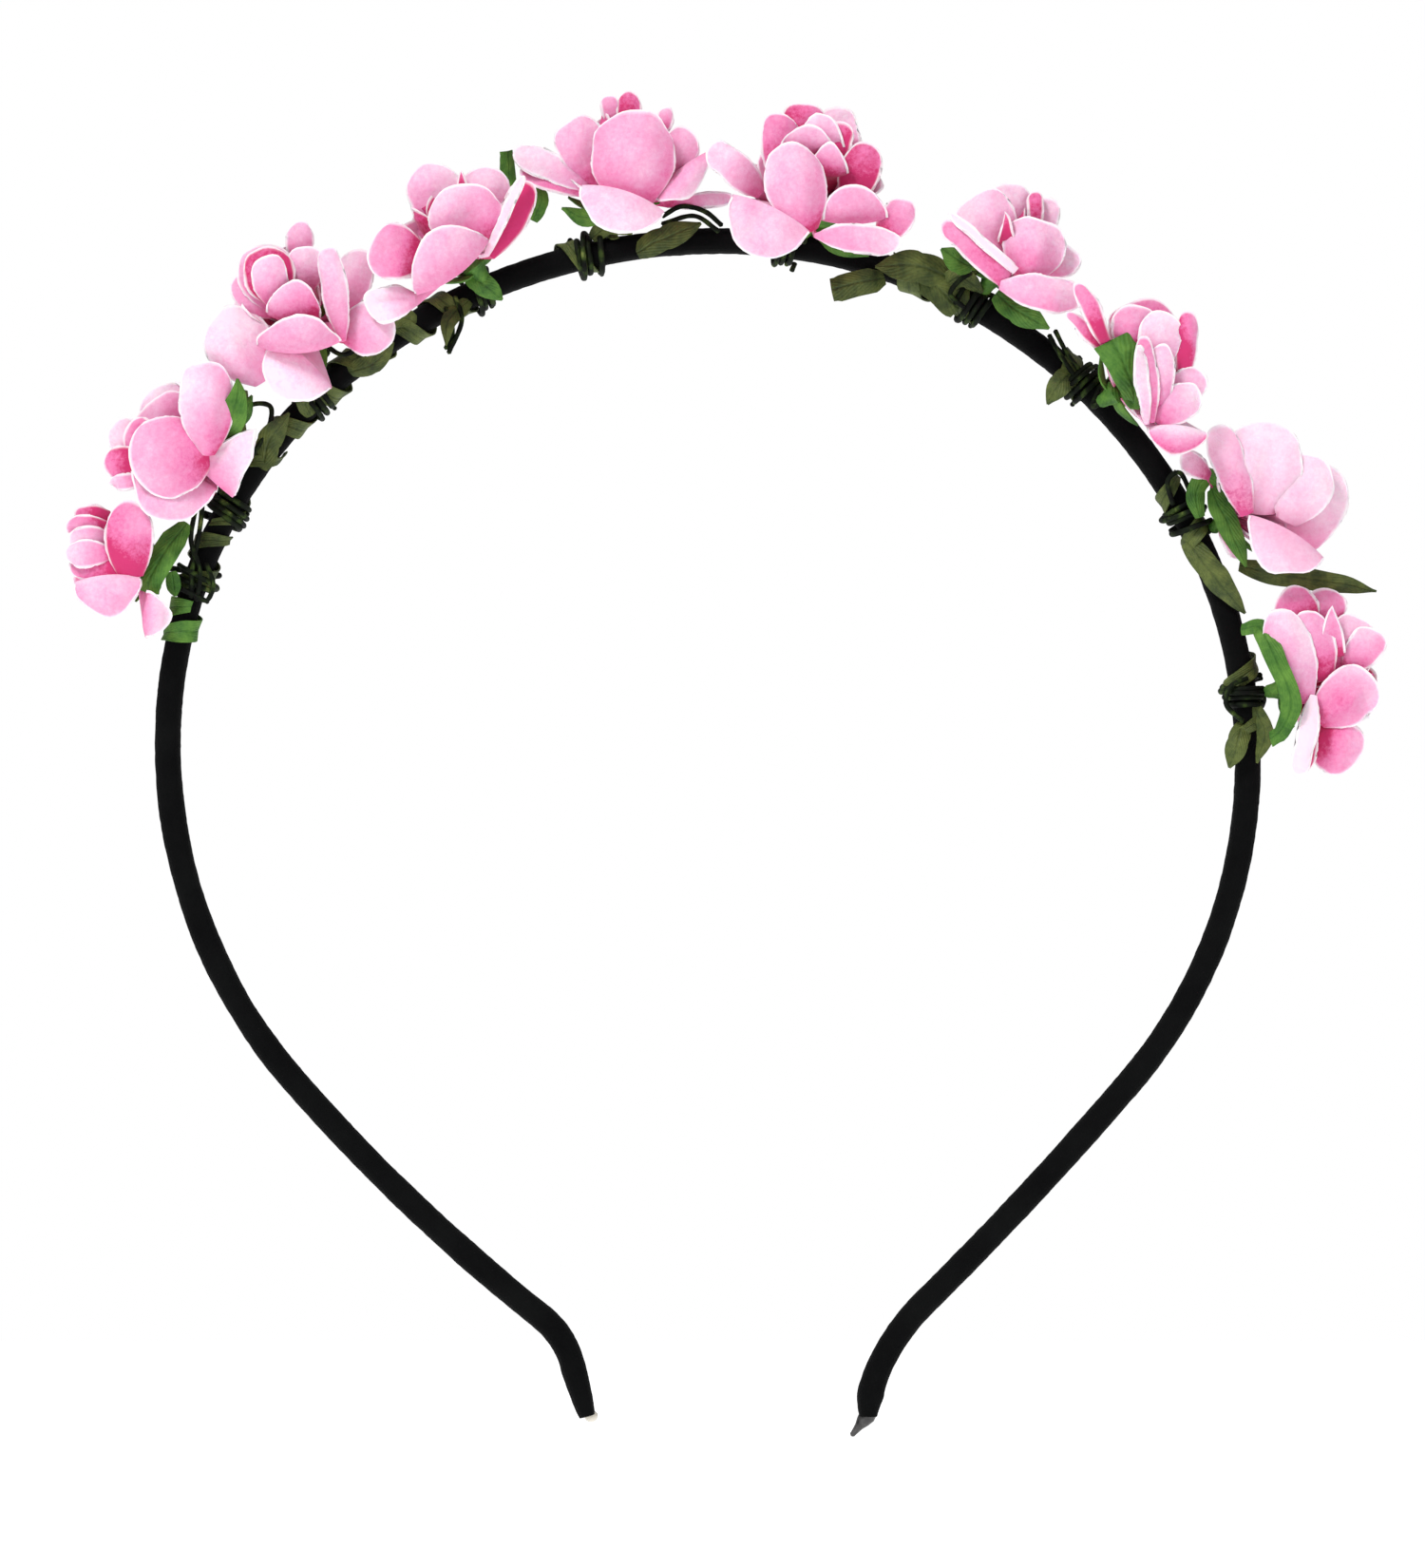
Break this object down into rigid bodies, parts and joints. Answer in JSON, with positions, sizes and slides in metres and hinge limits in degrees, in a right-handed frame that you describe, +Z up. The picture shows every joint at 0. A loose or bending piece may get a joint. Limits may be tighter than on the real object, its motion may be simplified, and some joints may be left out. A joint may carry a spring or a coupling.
{
  "type": "flower crown",
  "caption": "Sprung fabric-covered head band, open at the bottom, with wired pink paper roses and green paper leaves along its crown.",
  "frame": {"origin": "centre of the head opening, in the middle plane of the band", "axes": "+Z up through the top of the band; +X towards the right leg; -Y towards the side the roses face; the band lies in the XZ plane"},
  "size_m": [0.1729, 0.0244, 0.1768],
  "materials": {
    "satin_cover": "satin",
    "spring_steel": "brushed",
    "glue": "gloss",
    "leaf_paper": "matte",
    "calyx_paper": "matte",
    "wrapped_wire": "matte",
    "bud_paper": "matte",
    "inner_petal_paper": "matte",
    "outer_petal_paper": "matte"
  },
  "bodies": {
    "crown": {"crown_cover": "satin_cover", "crown_core": "spring_steel", "paper_leaves": "leaf_paper", "rose_01_bud": "bud_paper", "rose_01_calyx": "calyx_paper", "rose_01_inner_petals": "inner_petal_paper", "rose_01_outer_petals": "outer_petal_paper", "rose_01_stem": "wrapped_wire", "rose_02_bud": "bud_paper", "rose_02_calyx": "calyx_paper", "rose_02_inner_petals": "inner_petal_paper", "rose_02_outer_petals": "outer_petal_paper", "rose_02_stem": "wrapped_wire", "rose_03_bud": "bud_paper", "rose_03_calyx": "calyx_paper", "rose_03_inner_petals": "inner_petal_paper", "rose_03_outer_petals": "outer_petal_paper", "rose_03_stem": "wrapped_wire", "rose_04_bud": "bud_paper", "rose_04_calyx": "calyx_paper", "rose_04_inner_petals": "inner_petal_paper", "rose_04_outer_petals": "outer_petal_paper", "rose_04_stem": "wrapped_wire", "rose_05_bud": "bud_paper", "rose_05_calyx": "calyx_paper", "rose_05_inner_petals": "inner_petal_paper", "rose_05_outer_petals": "outer_petal_paper", "rose_05_stem": "wrapped_wire", "rose_06_bud": "bud_paper", "rose_06_calyx": "calyx_paper", "rose_06_inner_petals": "inner_petal_paper", "rose_06_outer_petals": "outer_petal_paper", "rose_06_stem": "wrapped_wire", "rose_07_bud": "bud_paper", "rose_07_calyx": "calyx_paper", "rose_07_inner_petals": "inner_petal_paper", "rose_07_outer_petals": "outer_petal_paper", "rose_07_stem": "wrapped_wire", "rose_08_bud": "bud_paper", "rose_08_calyx": "calyx_paper", "rose_08_inner_petals": "inner_petal_paper", "rose_08_outer_petals": "outer_petal_paper", "rose_08_stem": "wrapped_wire", "rose_09_bud": "bud_paper", "rose_09_calyx": "calyx_paper", "rose_09_inner_petals": "inner_petal_paper", "rose_09_outer_petals": "outer_petal_paper", "rose_09_stem": "wrapped_wire", "rose_10_bud": "bud_paper", "rose_10_calyx": "calyx_paper", "rose_10_inner_petals": "inner_petal_paper", "rose_10_outer_petals": "outer_petal_paper", "rose_10_stem": "wrapped_wire"},
    "left_leg": {"left_leg_cover": "satin_cover", "left_leg_core": "spring_steel", "left_tip_bead": "glue"},
    "right_leg": {"right_leg_cover": "satin_cover", "right_leg_core": "spring_steel", "right_tip_nib": "glue"}
  },
  "joints": [
    {"name": "left_leg_flex", "type": "hinge", "parent": "crown", "child": "left_leg", "pos_m": [-0.0705, 0, 0.009], "axis": [0, 1, 0], "range_deg": [-7, 22], "stiffness_Nm_per_rad": 0.3},
    {"name": "right_leg_flex", "type": "hinge", "parent": "crown", "child": "right_leg", "pos_m": [0.0705, 0, -0.009], "axis": [0, -1, 0], "range_deg": [-7, 22], "stiffness_Nm_per_rad": 0.3}
  ]
}
